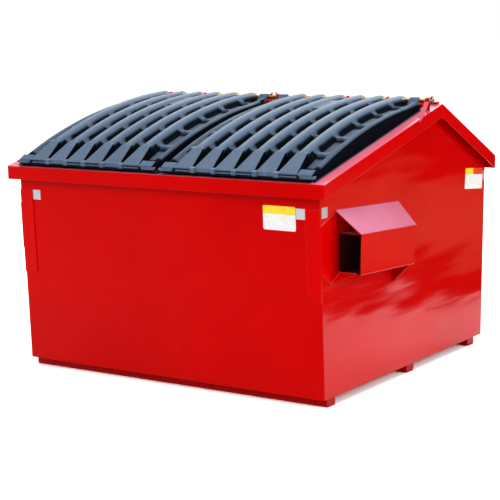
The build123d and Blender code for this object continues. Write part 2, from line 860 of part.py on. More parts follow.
front_tape = front_sticker(half_width - guard_front_width - tape_inset, tape_front_drop, tape_width,
                           tape_height, tape_corner)
both_sides(front_tape, "front_tape")
side_tape_low = guard_side_high + tape_side_rise
front_side_tape = side_sticker(front_top + tape_side_place, side_tape_low, tape_width, tape_height,
                               tape_corner)
both_sides(front_side_tape, "front_side_tape")
rear_side_tape = side_sticker(rear_top - rear_tape_place, rear_height - rear_tape_drop, rear_tape_width,
                              tape_height, tape_corner)
both_sides(rear_side_tape, "rear_side_tape")
front_label = front_sticker(half_width - front_label_inset, front_label_drop, front_label_width,
                            front_label_height, label_corner)
save(front_label, "front_label")
side_label = side_sticker(side_label_place, rear_height - side_label_drop, side_label_width,
                          side_label_height, label_corner, side_label_turn)
save(side_label, "side_label")
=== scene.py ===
import math
import bpy
import bmesh
import numpy as np
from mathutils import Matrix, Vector


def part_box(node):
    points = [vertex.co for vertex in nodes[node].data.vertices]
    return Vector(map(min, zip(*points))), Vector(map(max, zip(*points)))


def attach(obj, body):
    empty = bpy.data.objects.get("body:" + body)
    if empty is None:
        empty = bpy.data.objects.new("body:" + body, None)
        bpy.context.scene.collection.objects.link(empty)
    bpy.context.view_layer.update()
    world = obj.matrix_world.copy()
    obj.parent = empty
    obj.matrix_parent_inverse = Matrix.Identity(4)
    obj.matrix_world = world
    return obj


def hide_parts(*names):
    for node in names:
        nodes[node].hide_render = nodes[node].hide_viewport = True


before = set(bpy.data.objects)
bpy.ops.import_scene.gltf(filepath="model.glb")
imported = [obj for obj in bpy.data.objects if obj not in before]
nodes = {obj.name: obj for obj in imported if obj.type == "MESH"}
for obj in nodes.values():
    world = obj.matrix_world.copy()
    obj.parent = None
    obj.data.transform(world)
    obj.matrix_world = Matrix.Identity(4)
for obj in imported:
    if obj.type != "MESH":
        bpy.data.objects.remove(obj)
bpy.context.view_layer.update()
bpy.ops.object.select_all(action="DESELECT")
scene = bpy.context.scene
MM = 0.001

# The camera, as fitted to the photograph
CAMERA_PLACE = (4.48815, -6.70352, 1.88654)
CAMERA_TURN = (1.378903, 0.016723, 0.589347)
SENSOR_WIDTH, FOCAL_LENGTH = 36.0, 108.852
SHIFT_X, SHIFT_Y = -0.01219, 0.09132
FAR_CLIP = 200.0

camera_data = bpy.data.cameras.new("camera")
camera = bpy.data.objects.new("camera", camera_data)
scene.collection.objects.link(camera)
camera.location = CAMERA_PLACE
camera.rotation_euler = CAMERA_TURN
camera_data.sensor_width = SENSOR_WIDTH
camera_data.lens = FOCAL_LENGTH
camera_data.shift_x = SHIFT_X
camera_data.shift_y = SHIFT_Y
camera_data.clip_end = FAR_CLIP
scene.camera = camera

# The roofline that the lids follow, in metres
FRONT_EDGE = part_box("front_sill")[0].y
FRONT_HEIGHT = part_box("front_sill")[1].z
PEAK_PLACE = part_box("right_front_gable_rail")[1].y
PEAK_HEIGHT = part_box("right_front_gable_rail")[1].z
SLOPE = math.atan2(PEAK_HEIGHT - FRONT_HEIGHT, PEAK_PLACE - FRONT_EDGE)
HALF_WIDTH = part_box("right_wall")[1].x


def on_slope(x, along, above):
    """A point of the front slope's frame, given in millimetres along and above it."""
    y = FRONT_EDGE + (along * math.cos(SLOPE) - above * math.sin(SLOPE)) * MM
    z = FRONT_HEIGHT + (along * math.sin(SLOPE) + above * math.cos(SLOPE)) * MM
    return (x * MM, y, z)


# The fork pockets' place, in metres: the lower front edge of a sleeve and the tilt of its floor
POCKET_LENGTH, POCKET_HEIGHT = 0.527, 0.192
POCKET_FALL = 0.047
TILT = math.atan(POCKET_FALL)
PIVOT_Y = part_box("right_fork_pocket")[0].y
PIVOT_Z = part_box("right_fork_pocket")[1].z - POCKET_HEIGHT * math.cos(TILT)


# Parts that the materials share
def new_material(name):
    material = bpy.data.materials.new(name)
    material.use_nodes = True
    tree = material.node_tree
    return material, tree, tree.nodes["Principled BSDF"]


def node(tree, kind, inputs=None, **settings):
    """A shader node with its settings; inputs are values, or sockets to link from."""
    made = tree.nodes.new(kind)
    for key, value in settings.items():
        setattr(made, key, value)
    for key, value in (inputs or {}).items():
        if isinstance(value, bpy.types.NodeSocket):
            tree.links.new(value, made.inputs[key])
        else:
            made.inputs[key].default_value = value
    return made


def object_place(tree):
    """Object coordinates, which are metres in the shared frame."""
    return node(tree, "ShaderNodeTexCoord").outputs["Object"]


def object_noise(tree, scale, detail=3.0, stretch=(1, 1, 1), roughness=0.5):
    mapped = node(tree, "ShaderNodeMapping", {"Vector": object_place(tree), "Scale": stretch})
    return node(tree, "ShaderNodeTexNoise", {"Vector": mapped.outputs["Vector"], "Scale": scale,
                                             "Detail": detail, "Roughness": roughness}).outputs["Fac"]


def span(tree, value, low, high, to_low=0.0, to_high=1.0):
    """Maps a value from low..high to another range and clamps it there."""
    return node(tree, "ShaderNodeMapRange", {"Value": value, "From Min": low, "From Max": high,
                                             "To Min": to_low, "To Max": to_high}).outputs["Result"]


def maths(tree, operation, a, b):
    return node(tree, "ShaderNodeMath", {0: a, 1: b}, operation=operation).outputs[0]


def mix(tree, factor, a, b):
    made = node(tree, "ShaderNodeMix", data_type="RGBA")
    for socket, value in ((made.inputs[0], factor), (made.inputs[6], a), (made.inputs[7], b)):
        if isinstance(value, bpy.types.NodeSocket):
            tree.links.new(value, socket)
        else:
            socket.default_value = value
    return made.outputs[2]


def bump(tree, height, distance, strength, normal=None):
    """A bumped normal, laid over another one if there is one."""
    inputs = {"Height": height, "Distance": distance, "Strength": strength}
    if normal is not None:
        inputs["Normal"] = normal
    return node(tree, "ShaderNodeBump", inputs).outputs["Normal"]


def height_of(tree):
    return node(tree, "ShaderNodeSeparateXYZ", {"Vector": object_place(tree)}).outputs["Z"]


def facing_up(tree, low, high):
    """0 on upright faces and 1 on faces that look up."""
    normal = node(tree, "ShaderNodeNewGeometry").outputs["Normal"]
    return span(tree, node(tree, "ShaderNodeSeparateXYZ", {"Vector": normal}).outputs["Z"], low, high)


def rounded_edges(tree, radius):
    return node(tree, "ShaderNodeBevel", {"Radius": radius}, samples=4).outputs["Normal"]


EDGE_FLAT, EDGE_SHARP = 0.995, 0.86


def edge_wear_and_glint(tree, rounded):
    """1 along the edges that a rounded normal softens, 0 on flats."""
    flat = node(tree, "ShaderNodeNewGeometry").outputs["Normal"]
    agree = node(tree, "ShaderNodeVectorMath", {0: rounded, 1: flat}, operation="DOT_PRODUCT")
    return span(tree, agree.outputs["Value"], EDGE_FLAT, EDGE_SHARP)


# Boxes of a sleeve's hollow, painted near black as shade, and of the painted shade at its mouth, in metres
# out of the wall, back from the mouth and up from the sleeve's floor
HOLLOW_OUT, HOLLOW_BACK, HOLLOW_UP = (-0.0005, 0.1184), (-0.0006, 0.5276), (0.0052, 0.1890)
SHADE_OUT, SHADE_BACK, SHADE_UP = (0.0, 0.118), (-0.2, 0.012), (-0.02, 0.30)
SHADE_RUN, SHADE_MOST = 0.10, 0.75


def in_sleeve(tree):
    """1 inside the hollow of a fork pocket on either side, for its painted shade, and a painted shade that
    grows toward its mouth.
    """
    shift = (0.0, -PIVOT_Y * math.cos(TILT) + PIVOT_Z * math.sin(TILT),
             -PIVOT_Y * math.sin(TILT) - PIVOT_Z * math.cos(TILT))
    level = node(tree, "ShaderNodeMapping", {"Vector": object_place(tree), "Rotation": (TILT, 0.0, 0.0),
                                             "Location": shift})
    across, back, up = node(tree, "ShaderNodeSeparateXYZ", {"Vector": level.outputs["Vector"]}).outputs
    out = maths(tree, "SUBTRACT", maths(tree, "ABSOLUTE", across, 0.0), HALF_WIDTH)

    def within(value, limits):
        low, high = limits
        return maths(tree, "MULTIPLY", maths(tree, "GREATER_THAN", value, low),
                     maths(tree, "LESS_THAN", value, high))

    hollow_shade = maths(tree, "MULTIPLY", within(out, HOLLOW_OUT), within(up, HOLLOW_UP))
    hollow_shade = maths(tree, "MULTIPLY", hollow_shade, within(back, HOLLOW_BACK))
    shade = maths(tree, "MULTIPLY", within(out, SHADE_OUT), within(up, SHADE_UP))
    shade = maths(tree, "MULTIPLY", shade, span(tree, back, -SHADE_RUN, 0.0, 0.0, SHADE_MOST))
    return hollow_shade, maths(tree, "MULTIPLY", shade, within(back, SHADE_BACK))


# Gloss enamel on sheet steel
ENAMEL_DARK, ENAMEL_LIGHT, ENAMEL_STREAK = 0.54, 0.63, 0.40
DUST, SCRAPED_AND_EDGE_GLINT = (0.42, 0.08, 0.05, 1), (0.85, 0.13, 0.13, 1)
# Painted shade: dark red toward a fork pocket's mouth, near black inside it
SLEEVE_SHADE, HOLLOW_SHADE = (0.10, 0.0, 0.0, 1), (0.004, 0.003, 0.003, 1)
# Glints tint the specular; the pink and pale sky sheens are painted reflections of the sky on faces that look
# up
RED_GLINT, PINK_SKY_SHEEN = (1.0, 0.02, 0.02, 1), (1.0, 0.30, 0.45, 1)
WHITE_GLINT, PALE_SKY_SHEEN = (1, 1, 1, 1), (1.0, 0.52, 0.80, 1)
PAINT_EDGE = 3 * MM
DUST_TOP, DUST_FOOT, DUST_MOST = 0.16, 0.02, 0.08
SKY_SHEEN_LEAST, SKY_SHEEN_MOST = 0.30, 0.42
GLOSS_SPREAD = 0.07
PEEL_DEPTH = 0.25 * MM


# painted_light_scale makes a lighter or darker copy of the enamel: painted light or painted shade
def red_paint(name, waves, roughness, painted_light_scale=1.0, hollow=False, specular=0.24, sky_sheen=1.0,
              glint=RED_GLINT, sky_sheen_colour=PINK_SKY_SHEEN):
    """Enamel with a clouded base, run-off streaks, dusty feet, edges lightened for scraped paint and a
    painted edge highlight, and a painted pink reflection of the sky on upper faces.

    Waves are the buckles' scale, depth and stretch; a hollow paint gets painted shade in the fork pockets,
    near black inside and darker toward the mouth."""
    material, tree, shader = new_material(name)
    rounded = rounded_edges(tree, PAINT_EDGE)
    cloud = object_noise(tree, 1.7, 4.0, roughness=0.6)
    speck = object_noise(tree, 55.0, 5.0, roughness=0.7)
    streak = object_noise(tree, 9.0, 4.0, stretch=(1.0, 1.0, 0.12))
    base = mix(tree, span(tree, cloud, 0.3, 0.7), (ENAMEL_DARK * painted_light_scale, 0.0, 0.0, 1),
               (ENAMEL_LIGHT * painted_light_scale, 0.0, 0.0, 1))
    base = mix(tree, span(tree, streak, 0.58, 0.80, 0.0, 0.16), base, (ENAMEL_STREAK * painted_light_scale, 0.001, 0.001, 1))
    # Painted reflection: faces that look up are mixed, in patches, toward the pink of a sky reflection
    sky_sheen_share = span(tree, cloud, 0.35, 0.65, SKY_SHEEN_LEAST * sky_sheen, SKY_SHEEN_MOST * sky_sheen)
    base = mix(tree, maths(tree, "MULTIPLY", facing_up(tree, 0.55, 0.95), sky_sheen_share), base, sky_sheen_colour)
    dust = span(tree, height_of(tree), DUST_TOP, DUST_FOOT, 0.0, DUST_MOST)
    dust = maths(tree, "MULTIPLY", dust, span(tree, speck, 0.45, 0.66))
    base = mix(tree, dust, base, DUST)
    # Edges lightened toward pink: partly scraped paint, partly a painted highlight along the edges
    scuff = maths(tree, "MULTIPLY", edge_wear_and_glint(tree, rounded), span(tree, speck, 0.46, 0.60, 0.03, 0.28))
    base = mix(tree, scuff, base, SCRAPED_AND_EDGE_GLINT)
    gloss = span(tree, speck, 0.3, 0.75, roughness, roughness + GLOSS_SPREAD)
    gloss = maths(tree, "ADD", gloss, maths(tree, "MULTIPLY", dust, 0.6))
    if hollow:
        hollow_shade, shade = in_sleeve(tree)
        base = mix(tree, shade, base, SLEEVE_SHADE)
        base = mix(tree, maths(tree, "MULTIPLY", hollow_shade, 0.97), base, HOLLOW_SHADE)
        gloss = maths(tree, "MAXIMUM", gloss, maths(tree, "MULTIPLY", hollow_shade, 0.85))
    tree.links.new(base, shader.inputs["Base Color"])
    tree.links.new(gloss, shader.inputs["Roughness"])
    shader.inputs["Specular IOR Level"].default_value = specular
    shader.inputs["Specular Tint"].default_value = glint
    bumped = rounded
    for scale, depth, stretch in waves:
        buckle = object_noise(tree, scale, 1.0, stretch=stretch, roughness=0.3)
        bumped = bump(tree, buckle, depth, 1.0, bumped)
    bumped = bump(tree, object_noise(tree, 420.0, 2.0), PEEL_DEPTH, 0.3, bumped)
    tree.links.new(bumped, shader.inputs["Normal"])
    return material


# Moulded plastic of the lids
PLASTIC_DARK, PLASTIC_LIGHT = (0.058, 0.096, 0.160, 1), (0.077, 0.122, 0.196, 1)
PLASTIC_RUBBED, PLASTIC_GLINT = (0.150, 0.205, 0.280, 1), (0.75, 0.88, 1.0, 1)
# VALLEY_SHADE is painted shade low in the moulding: in the valleys, gaps and pits
VALLEY_SHADE = (0.0020, 0.0032, 0.0060, 1)
SKIRT_DARK, SKIRT_LIGHT = (0.005, 0.007, 0.010, 1), (0.014, 0.018, 0.025, 1)


def lid_plastic(name, specular):
    """Satin moulded polyethylene, with painted shade where it lies low in the moulding."""
    material, tree, shader = new_material(name)
    cloud = object_noise(tree, 2.6, 4.0, roughness=0.6)
    grain = object_noise(tree, 260.0, 4.0, roughness=0.65)
    rub = object_noise(tree, 34.0, 5.0, stretch=(1.0, 0.22, 0.22), roughness=0.7)
    base = mix(tree, span(tree, cloud, 0.3, 0.7), PLASTIC_DARK, PLASTIC_LIGHT)
    base = mix(tree, span(tree, rub, 0.50, 0.74, 0.0, 0.40), base, PLASTIC_RUBBED)
    # The depth attribute carries the painted shade
    depth = node(tree, "ShaderNodeAttribute", attribute_name="depth").outputs["Fac"]
    depth = span(tree, maths(tree, "ADD", depth, span(tree, rub, 0.35, 0.65, -0.08, 0.08)), 0.05, 0.85)
    tree.links.new(mix(tree, depth, base, VALLEY_SHADE), shader.inputs["Base Color"])
    gloss = span(tree, rub, 0.3, 0.75, 0.40, 0.50)
    tree.links.new(maths(tree, "ADD", gloss, maths(tree, "MULTIPLY", depth, 0.3)), shader.inputs["Roughness"])
    shader.inputs["Specular IOR Level"].default_value = specular
    shader.inputs["Specular Tint"].default_value = PLASTIC_GLINT
    bumped = bump(tree, grain, 0.3 * MM, 0.5)
    tree.links.new(bump(tree, cloud, 6 * MM, 0.5, bumped), shader.inputs["Normal"])
    return material


def shaded_plastic(name):
    """The same plastic in the lids' shade: nearly black and dull."""
    material, tree, shader = new_material(name)
    grain = object_noise(tree, 60.0, 4.0)
    base = mix(tree, span(tree, grain, 0.4, 0.7), SKIRT_DARK, SKIRT_LIGHT)
    tree.links.new(base, shader.inputs["Base Color"])
    tree.links.new(span(tree, grain, 0.3, 0.7, 0.6, 0.8), shader.inputs["Roughness"])
    shader.inputs["Specular IOR Level"].default_value = 0.1
    return material


def zinc(name):
    """Yellow zinc plate, mottled and rusty in places."""
    material, tree, shader = new_material(name)
    mottle = object_noise(tree, 90.0, 5.0, roughness=0.7)
    tone = mix(tree, span(tree, mottle, 0.35, 0.65), (0.52, 0.40, 0.12, 1), (0.44, 0.46, 0.30, 1))
    tone = mix(tree, span(tree, object_noise(tree, 38.0, 4.0), 0.48, 0.62), tone, (0.42, 0.12, 0.02, 1))
    tree.links.new(tone, shader.inputs["Base Color"])
    shader.inputs["Metallic"].default_value = 1.0
    tree.links.new(span(tree, mottle, 0.3, 0.7, 0.25, 0.5), shader.inputs["Roughness"])
    tree.links.new(bump(tree, mottle, 0.4 * MM, 0.6, rounded_edges(tree, 1 * MM)), shader.inputs["Normal"])
    return material


def reflective_tape(name):
    """Silver film with a fine cell pattern under a clear face."""
    material, tree, shader = new_material(name)
    cells = node(tree, "ShaderNodeTexVoronoi", {"Vector": object_place(tree), "Scale": 260.0},
                 feature="DISTANCE_TO_EDGE").outputs["Distance"]
    seam = span(tree, cells, 0.02, 0.12)
    tone = mix(tree, seam, (0.62, 0.66, 0.70, 1), (0.44, 0.49, 0.54, 1))
    worn = span(tree, object_noise(tree, 60.0, 4.0), 0.5, 0.75, 0.0, 0.5)
    tree.links.new(mix(tree, worn, tone, (0.66, 0.62, 0.62, 1)), shader.inputs["Base Color"])
    shader.inputs["Metallic"].default_value = 0.25
    tree.links.new(span(tree, seam, 0.0, 1.0, 0.40, 0.28), shader.inputs["Roughness"])
    shader.inputs["Coat Weight"].default_value = 0.5
    tree.links.new(bump(tree, seam, 0.3 * MM, 0.4), shader.inputs["Normal"])
    return material


# Bare vinyl plates; a second colour, where there is one, takes over part-way along the band
VINYL, VINYL_SCUFFED = (0.90, 0.89, 0.86, 1), (0.74, 0.72, 0.68, 1)
YELLOW, YELLOW_SCUFFED = (1.0, 0.72, 0.01, 1), (0.90, 0.60, 0.02, 1)
ORANGE = (0.85, 0.05, 0.01, 1)
PRINT_EDGE = 0.6 * MM
FRONT_BAND_SHARE, SIDE_BAND_SHARE, YELLOW_SHARE = 0.34, 0.30, 0.45
SIDE_LABEL_TURN = math.radians(5.0)


def label_plate(name, label, band_share, turn=0.0, second=None):
    """A bare plate with a plain band along its top, both turned with the label in the plane of its wall."""
    material, tree, shader = new_material(name)
    low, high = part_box(label)
    middle = (low + high) / 2
    height = ((high.z - low.z) * math.cos(turn) - (high.y - low.y) * math.sin(turn)) / math.cos(2 * turn)
    turned = node(tree, "ShaderNodeVectorRotate", {"Vector": object_place(tree), "Center": tuple(middle),
                                                   "Angle": turn}, rotation_type="X_AXIS")
    parts = node(tree, "ShaderNodeSeparateXYZ", {"Vector": turned.outputs["Vector"]}).outputs
    line = middle.z + height * (0.5 - band_share)
    above = span(tree, parts["Z"], line - PRINT_EDGE, line + PRINT_EDGE)
    scuff = span(tree, object_noise(tree, 30.0, 5.0, roughness=0.7), 0.45, 0.75)
    band = mix(tree, scuff, YELLOW, YELLOW_SCUFFED)
    if second is not None:
        start = low.y + YELLOW_SHARE * (high.y - low.y)
        band = mix(tree, span(tree, parts["Y"], start - PRINT_EDGE, start + PRINT_EDGE), band, second)
    blank = mix(tree, scuff, VINYL, VINYL_SCUFFED)
    tree.links.new(mix(tree, above, blank, band), shader.inputs["Base Color"])
    tree.links.new(span(tree, scuff, 0.0, 1.0, 0.28, 0.42), shader.inputs["Roughness"])
    tree.links.new(bump(tree, object_noise(tree, 45.0, 2.0), 0.6 * MM, 0.3), shader.inputs["Normal"])
    return material


EVEN = (1.0, 1.0, 1.0)
SLIGHT_WAVES = [(3.0, 1.2 * MM, EVEN)]
FRONT_WAVES = [(1.6, 10 * MM, EVEN), (4.0, 1.4 * MM, EVEN)]
SIDE_WAVES = [(1.3, 45 * MM, (1.0, 0.8, 1.3)), (3.4, 10 * MM, (1.0, 0.6, 1.6)),
              (9.0, 1.4 * MM, (1.0, 0.3, 2.4))]
SKID_WAVES = [(3.0, 4 * MM, EVEN)]
WELD_WAVES = [(60.0, 2 * MM, EVEN)]

wall_paint = red_paint("wall_paint", FRONT_WAVES, 0.16, specular=0.22, sky_sheen=0.3)
side_paint = red_paint("side_paint", SIDE_WAVES, 0.09, hollow=True, specular=0.45)
part_paint = red_paint("part_paint", SLIGHT_WAVES, 0.13, hollow=True)
rail_paint = red_paint("rail_paint", SLIGHT_WAVES, 0.13, sky_sheen=1.5)
roof_paint = red_paint("roof_paint", SLIGHT_WAVES, 0.12, specular=1.0, sky_sheen=2.3, glint=WHITE_GLINT,
                       sky_sheen_colour=PALE_SKY_SHEEN)
# A lighter copy of the enamel: painted light on the corner guards
lit_guard_paint = red_paint("lit_guard_paint", SLIGHT_WAVES, 0.13, painted_light_scale=1.08, hollow=True)
lead_paint = red_paint("lead_paint", SLIGHT_WAVES, 0.2, specular=0.1, sky_sheen=0.0)
# A darker copy of the enamel: painted shade on the skids, gussets and floor pan under the body
shaded_under_paint = red_paint("shaded_under_paint", SKID_WAVES, 0.3, painted_light_scale=0.7, specular=0.2, sky_sheen=0.0)
weld_paint = red_paint("weld_paint", WELD_WAVES, 0.12, specular=0.5)
plastic = lid_plastic("lid_plastic", 0.28)
# A darker, duller copy of the plastic for the faces deepest in painted shade
shade_painted_plastic = lid_plastic("shade_painted_plastic", 0.03)
skirt_plastic = shaded_plastic("skirt_plastic")
zinc_plate = zinc("zinc_plate")
tape_film = reflective_tape("reflective_tape")
front_plate = label_plate("front_plate", "front_label", FRONT_BAND_SHARE)
side_plate = label_plate("side_plate", "side_label", SIDE_BAND_SHARE, SIDE_LABEL_TURN, ORANGE)


def paint_of(name):
    if name.endswith("_lid"):
        return plastic
    if name.endswith("_tape"):
        return tape_film
    if name == "front_label":
        return front_plate
    if name == "side_label":
        return side_plate
    if "hinge_rod" in name or name in ("hinge_washers", "cotter_pins"):
        return zinc_plate
    if name in ("left_wall", "right_wall"):
        return side_paint
    if name in ("front_wall", "rear_wall", "rear_roof"):
        return wall_paint
    if "skid" in name or "gusset" in name or name == "floor_pan":
        return shaded_under_paint
    if "lead_in" in name:
        return lead_paint
    if "pocket_roof" in name:
        return roof_paint
    if "guard" in name:
        return lit_guard_paint
    if "gable_rail" in name or name in ("front_sill", "rear_sill", "ridge_cap"):
        return rail_paint
    return part_paint


for name, thing in nodes.items():
    thing.data.materials.clear()
    thing.data.materials.append(paint_of(name))


# The lids, in millimetres across, along and above the front slope
LID_CENTRE = (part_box("right_lid")[0].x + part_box("right_lid")[1].x) / 2 / MM
LID_HALF = (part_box("right_lid")[1].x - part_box("right_lid")[0].x) / 2 / MM
SLOPE_LENGTH = math.hypot(PEAK_PLACE - FRONT_EDGE, PEAK_HEIGHT - FRONT_HEIGHT) / MM
AXIS_ALONG, AXIS_ABOVE = SLOPE_LENGTH - 80.0, 44.0
LID_END = AXIS_ALONG + 44.6
MARGIN_END = AXIS_ALONG - 26.4
NOTCH_START, NOTCH_EDGE = AXIS_ALONG - 90.0, LID_HALF - 26.0
SKIRT_HALF = 432.3
SKIN = 4.0
LEAST_HEIGHT = 8.0
# The dome's arc over the slope
CREST, CREST_PLACE, CREST_RADIUS = 114.5, 560.0, 2834.0
# Ribs, and a pad between the middle two
RIB_PITCH, RIB_HALF, RIB_HEIGHT, RIB_FULLNESS = 119.0, 49.0, 46.0, 1.45
RIB_ZONE = 3.0 * RIB_PITCH
RIBS = [(i - 2.5) * RIB_PITCH for i in range(6)]
PAD_START, PAD_END, PAD_DEPTH = 812.0, 1022.0, 14.0
PAD_RUN_IN, PAD_RUN_OUT, PAD_EDGE = 6.0, 10.0, 4.0
# Margins beside the ribs, each with a rim that lifts toward the hinge
MARGIN_REACH, MARGIN_EDGE = 352.0, 6.0
RIM_CENTRE, RIM_HALF, RIM_RISE, RIM_FULLNESS = 413.0, 20.0, 13.0, 0.6
RIM_LIFT, RIM_LIFT_RUN, RIM_BLEND = 12.0, 130.0, 5.0
# Webs across the valleys, steep in front and long behind, and the pits in front of them
WEBS = [218.0 + 186.0 * i for i in range(5)]
WEB_RISE, WEB_OUTER_DROP, WEB_FACE, WEB_BACK, WEB_FULLNESS = 24.0, 5.0, 4.0, 56.0, 0.8
WEB_FADE, WEB_REACH, WEB_LEAST, MOULD_BLEND = 388.0, 402.0, 0.01, 3.0
PIT_START, PIT_END = 50.0, 8.0
LOBE_LOW, LOBE_HIGH = 0.15, 0.6
# Front ramps: flat plates that spread toward the lip, with sunk gaps between them
LIP_PLACE, LIP_HEIGHT = 20.4, 37.0
RAMP_PLACE, RAMP_TOP = 185.0, 89.6
RAMP_SLOPE = (RAMP_TOP - LIP_HEIGHT) / (RAMP_PLACE - LIP_PLACE)
RAMP_BLEND, RAMP_BLEND_END, RAMP_ROUNDING = 14.0, 2.0, 4.0
PLATE_HALF, PLATE_SPREAD = 26.0, 27.0
PLATE_EDGE_START, PLATE_EDGE_END = 0.5, 3.5
GAP_SINK, GAP_LEAST = 6.0, 3.0
DAM_START, DAM_END, DAM_DROP = 34.0, 41.0, 2.0
APRON_START, APRON_END, RIM_DROP, NO_APRON = 58.0, 66.0, 1.5, -100.0


def ease(value, low, high):
    t = np.clip((value - low) / (high - low), 0.0, 1.0)
    return t * t * (3.0 - 2.0 * t)


def soft_min(a, b, blend):
    h = np.clip(0.5 + 0.5 * (b - a) / blend, 0.0, 1.0)
    return b * (1 - h) + a * h - blend * h * (1 - h)


def soft_max(a, b, blend):
    return -soft_min(-a, -b, blend)


def ribs_and_rims(reach, nearest, along, valley):
    share = np.clip(nearest / RIB_HALF, 0.0, 1.0)
    height = valley + RIB_HEIGHT * np.cos(math.pi / 2 * share ** RIB_FULLNESS)
    rim = np.clip(1 - (np.abs(reach - RIM_CENTRE) / RIM_HALF) ** 2, 0.0, 1.0)
    rim_rise = RIM_RISE + RIM_LIFT * ease(along, MARGIN_END - RIM_LIFT_RUN, MARGIN_END)
    return soft_max(height, valley + rim_rise * rim ** RIM_FULLNESS, RIM_BLEND)


def add_webs(height, reach, along, valley, outer):
    """The heights with webs, and from 0 to 1 the pits in front of them and the webs themselves."""
    pit = np.zeros_like(height)
    lobe = np.zeros_like(height)
    for web in WEBS:
        back = np.clip((along - web) / WEB_BACK, 0.0, 1.0)
        face = ease(along, web - WEB_FACE, web)
        swell = face * (1.0 - back) ** WEB_FULLNESS * (1.0 - ease(reach, WEB_FADE, WEB_REACH))
        rise = (WEB_RISE - WEB_OUTER_DROP * outer) * swell
        height = np.where(rise > WEB_LEAST, soft_max(height, valley + rise, MOULD_BLEND), height)
        pit = np.maximum(pit, (1.0 - face) * ease(along, web - PIT_START, web - PIT_END))
        lobe = np.maximum(lobe, ease(swell, LOBE_LOW, LOBE_HIGH))
    return height, pit, lobe


def add_pad(height, reach, along, valley):
    lengthwise = (ease(along, PAD_START - PAD_RUN_IN, PAD_START)
                  * (1 - ease(along, PAD_END, PAD_END + PAD_RUN_OUT)))
    sideways = 1 - ease(reach, RIB_PITCH / 2 - PAD_EDGE / 2, RIB_PITCH / 2 + PAD_EDGE)
    return soft_max(height, valley + (RIB_HEIGHT - PAD_DEPTH) * lengthwise * sideways, MOULD_BLEND)


def plate_half(along):
    """Half the width of a ramp's plate, and how far down the ramp a place is, from 0 to 1."""
    down = np.clip((RAMP_PLACE - along) / (RAMP_PLACE - LIP_PLACE), 0.0, 1.0)
    return PLATE_HALF + PLATE_SPREAD * down, down


def add_ramps(height, nearest, along, valley, margin, ramp):
    half, down = plate_half(along)
    plate = 1.0 - ease(nearest, half + PLATE_EDGE_START, half + PLATE_EDGE_END)
    gap = np.minimum(valley - GAP_SINK * down, ramp - GAP_LEAST)
    gap = gap + (ramp - DAM_DROP - gap) * (1.0 - ease(along, DAM_START, DAM_END))
    sloped = gap + (ramp - gap) * plate
    apron = np.where(along < APRON_END,
                     ramp - DAM_DROP - ease(along, APRON_START, APRON_END) * (ramp - valley), NO_APRON)
    sloped = np.where(margin, np.maximum(np.minimum(height, ramp - RIM_DROP), apron), sloped)
    blend = ease(along, RAMP_PLACE - RAMP_BLEND, RAMP_PLACE - RAMP_BLEND_END)
    blended = sloped * (1.0 - blend) + soft_min(height, ramp, RAMP_ROUNDING) * blend
    return np.where(along < RAMP_PLACE + RAMP_BLEND, blended, height)


# Where the painted shade starts below the crest and the depth over which it darkens, and how much both shrink
# near the ramps; then the places where the margins, gaps, pits and webs get less or more painted shade
DARK_START, DARK_START_NEAR, DARK_RUN, DARK_RUN_NEAR = 7.5, 1.5, 19.0, 8.0
NEAR_START, NEAR_END = 225.0, 330.0
UNSHADED_MARGIN, GAP_DARK_BACK, GAP_DARK_EDGE = 62.0, 12.0, 0.4
OUTER_UNSHADED, OUTER_UNSHADED_START, OUTER_UNSHADED_END = 0.66, 90.0, 120.0
PIT_DARK, PIT_DARK_START, PIT_DARK_END, PIT_DARK_REACH = 0.85, 100.0, 130.0, 396.0
LOBE_UNSHADED = 0.75


def painted_shade_depth(height, top, reach, nearest, along, margin, outer, pit, lobe):
    """How much painted shade a place gets, by how deep it lies in the moulding: from 0 on the crests to 1 in
    the gaps.
    """
    near = 1.0 - ease(along, NEAR_START, NEAR_END)
    below = top - height - DARK_START + DARK_START_NEAR * near
    depth = np.clip(below / (DARK_RUN - DARK_RUN_NEAR * near), 0.0, 1.0)
    depth = np.where(margin & (along < UNSHADED_MARGIN), 0.0, depth)
    in_gap = np.where(nearest > plate_half(along)[0] + GAP_DARK_EDGE, 1.0, 0.0)
    depth = np.where((along < RAMP_PLACE - GAP_DARK_BACK) & ~margin, in_gap, depth)
    depth = depth * (1.0 - OUTER_UNSHADED * outer * ease(along, OUTER_UNSHADED_START, OUTER_UNSHADED_END))
    pit = PIT_DARK * pit * outer * ease(along, PIT_DARK_START, PIT_DARK_END) * (reach < PIT_DARK_REACH)
    return np.maximum(depth, pit) * (1.0 - LOBE_UNSHADED * lobe)


def lid_skin(across, along):
    """The height of the lid's skin over the slope, and its painted shade by how deep it lies in the moulding.
    """
    crest = CREST - (CREST_RADIUS - np.sqrt(CREST_RADIUS ** 2 - (along - CREST_PLACE) ** 2))
    valley = crest - RIB_HEIGHT
    ramp = LIP_HEIGHT + (along - LIP_PLACE) * RAMP_SLOPE
    reach = np.abs(across)
    nearest = np.min(np.abs(across[..., None] - np.array(RIBS)), axis=-1)
    margin = reach > MARGIN_REACH
    outer = ease(reach, MARGIN_REACH - MARGIN_EDGE, MARGIN_REACH)
    height = ribs_and_rims(reach, nearest, along, valley)
    height, pit, lobe = add_webs(height, reach, along, valley, outer)
    height = add_pad(height, reach, along, valley)
    height = add_ramps(height, nearest, along, valley, margin, ramp)
    depth = painted_shade_depth(height, np.minimum(crest, ramp), reach, nearest, along, margin, outer, pit, lobe)
    return np.maximum(height, LEAST_HEIGHT), depth


